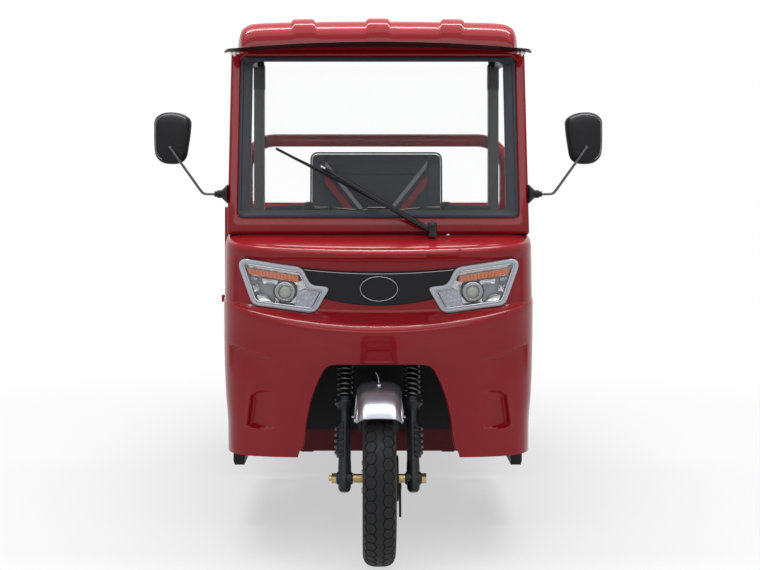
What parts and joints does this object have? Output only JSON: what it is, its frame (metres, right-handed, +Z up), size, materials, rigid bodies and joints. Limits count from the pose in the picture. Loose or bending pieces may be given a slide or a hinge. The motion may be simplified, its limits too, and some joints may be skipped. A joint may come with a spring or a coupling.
{
  "type": "electric cargo tricycle",
  "caption": "Electric cargo tricycle with a roofed front cab behind a raked windscreen, a sprung steered front wheel and an open cargo bed with a drop gate",
  "frame": {"origin": "on the ground, under the middle of the length and width over the mirrors", "axes": "front of the vehicle faces -Y, +Z is up, +X is the driver's left side"},
  "size_m": [1.406, 2.87, 1.686],
  "materials": {
    "red_paint": "gloss",
    "dark_trim": "gloss",
    "frame_black": "satin",
    "black_plastic": "matte",
    "rubber": "matte",
    "lamp_clear": "gloss",
    "lamp_amber": "gloss",
    "lamp_glass": "clear",
    "glass": "clear",
    "post_grey": "satin",
    "seat_fabric": "matte",
    "lamp_red": "gloss",
    "bright_chrome": "polished",
    "plated_steel": "satin",
    "wheel_silver": "satin",
    "tyre": "matte"
  },
  "bodies": {
    "vehicle": {"frame_rails": "frame_black", "cross_members": "frame_black", "steering_head": "frame_black", "floor_pan": "red_paint", "side_sills": "black_plastic", "front_fascia": "red_paint", "grille_panel": "black_plastic", "headlamps": "lamp_clear", "lamp_projectors": "bright_chrome", "lamp_indicators": "lamp_amber", "lamp_covers": "lamp_glass", "windscreen_frame": "red_paint", "windscreen_seal": "rubber", "windscreen_glass": "glass", "wiper": "black_plastic", "mirrors": "black_plastic", "roof": "red_paint", "sun_visor": "dark_trim", "cab_posts": "post_grey", "dashboard": "black_plastic", "leg_shield": "black_plastic", "brake_pedal": "black_plastic", "seat_base": "red_paint", "seat_cushion": "seat_fabric", "seat_back": "seat_fabric", "battery_box": "black_plastic", "bed_floor": "red_paint", "bed_front": "red_paint", "bed_sides": "red_paint", "guard_hoop": "red_paint", "gate_hinges": "frame_black", "leaf_springs": "frame_black", "rear_axle": "frame_black", "mud_flaps": "rubber", "tail_lamps": "lamp_red", "rear_bumper": "frame_black"},
    "steering": {"fork_legs": "frame_black", "fork_springs": "frame_black", "steering_stem": "frame_black", "handlebar": "bright_chrome", "grips": "rubber", "front_mudguard": "bright_chrome", "front_axle": "plated_steel", "front_brake": "frame_black"},
    "front_wheel": {"front_rim": "wheel_silver", "front_tyre": "tyre"},
    "rear_wheel_left": {"rear_rim_left": "wheel_silver", "rear_tyre_left": "tyre"},
    "rear_wheel_right": {"rear_rim_right": "wheel_silver", "rear_tyre_right": "tyre"},
    "drop_gate": {"tailgate": "red_paint"}
  },
  "joints": [
    {"name": "steer", "type": "hinge", "parent": "vehicle", "child": "steering", "pos_m": [0, -1.15759, 0.2378], "axis": [0, 0.4067, 0.9135], "range_deg": [-38, 38]},
    {"name": "front_wheel_spin", "type": "hinge", "parent": "steering", "child": "front_wheel", "pos_m": [0, -1.185, 0.25], "axis": [1, 0, 0], "continuous": true},
    {"name": "rear_wheel_left_spin", "type": "hinge", "parent": "vehicle", "child": "rear_wheel_left", "pos_m": [0.48, 0.775, 0.25], "axis": [1, 0, 0], "continuous": true},
    {"name": "rear_wheel_right_spin", "type": "hinge", "parent": "vehicle", "child": "rear_wheel_right", "pos_m": [-0.48, 0.775, 0.25], "axis": [1, 0, 0], "continuous": true},
    {"name": "drop_gate_swing", "type": "hinge", "parent": "vehicle", "child": "drop_gate", "pos_m": [0, 1.392, 0.658], "axis": [-1, 0, 0], "range_deg": [0, 95]}
  ]
}
